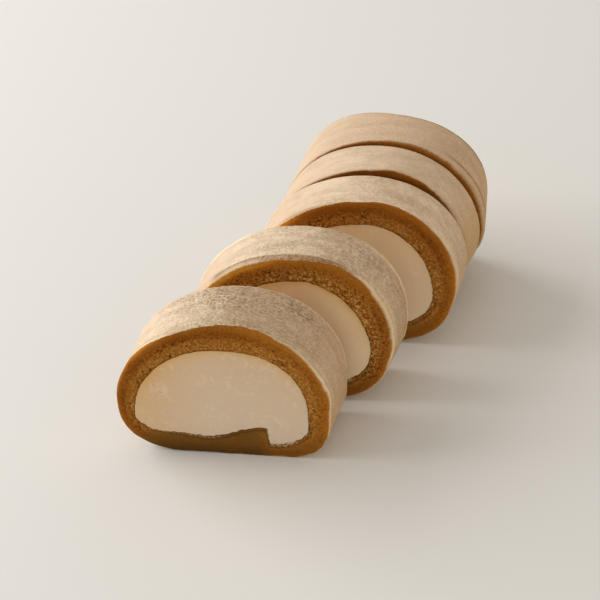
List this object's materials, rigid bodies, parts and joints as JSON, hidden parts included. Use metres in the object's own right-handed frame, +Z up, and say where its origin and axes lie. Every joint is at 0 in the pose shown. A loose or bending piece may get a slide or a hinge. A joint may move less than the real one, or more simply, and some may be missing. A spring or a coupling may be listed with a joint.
{
  "type": "swiss roll cake",
  "caption": "Cream-filled swiss roll with a flat base and a D-shaped section, cut into thick upright slices that stand in a row.",
  "frame": {"origin": "on the floor, under the middle of the whole row of slices", "axes": "+Z up, +Y along the roll from the front slice to the back one, the shown cut faces look to -Y"},
  "size_m": [0.1236, 0.1464, 0.0694],
  "materials": {
    "sponge": "matte brown sponge cake",
    "cream": "smooth pale beige cream, matte"
  },
  "bodies": {
    "root": {"slice_1_sponge": "sponge", "slice_1_cream": "cream", "slice_2_sponge": "sponge", "slice_2_cream": "cream", "slice_3_sponge": "sponge", "slice_3_cream": "cream", "slice_4_sponge": "sponge", "slice_4_cream": "cream", "slice_5_sponge": "sponge", "slice_5_cream": "cream"}
  },
  "joints": []
}
